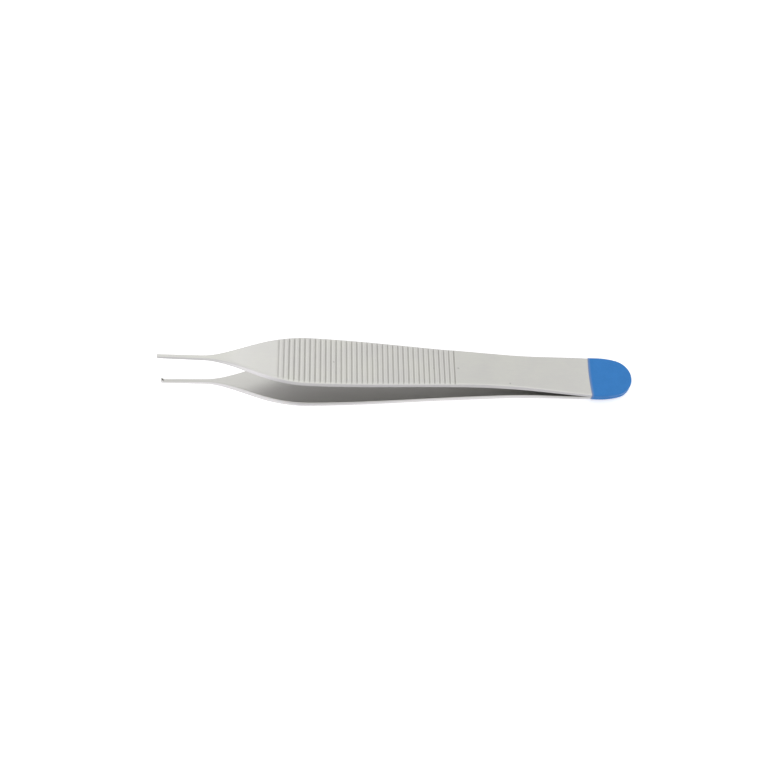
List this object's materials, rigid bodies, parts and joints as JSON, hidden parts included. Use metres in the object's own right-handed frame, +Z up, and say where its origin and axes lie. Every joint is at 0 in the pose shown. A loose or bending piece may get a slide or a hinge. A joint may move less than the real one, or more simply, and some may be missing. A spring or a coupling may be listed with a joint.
{
  "type": "thumb forceps",
  "caption": "Slim tissue forceps: two sprung steel arms joined at a blue coated tail, ridged grips, fine toothed jaws, lying open on the lower arm.",
  "frame": {"origin": "middle of the length and width, on the surface that the forceps lies on", "axes": "+X towards the coated tail, -X towards the tips, +Y across the arms, +Z up"},
  "size_m": [0.1198, 0.0132, 0.0144],
  "materials": {
    "steel": "satin, finely blasted",
    "blue_coat": "satin cured coating"
  },
  "bodies": {
    "root": {"upper_arm": "steel", "lower_arm": "steel", "tail_coat": "blue_coat"}
  },
  "joints": []
}
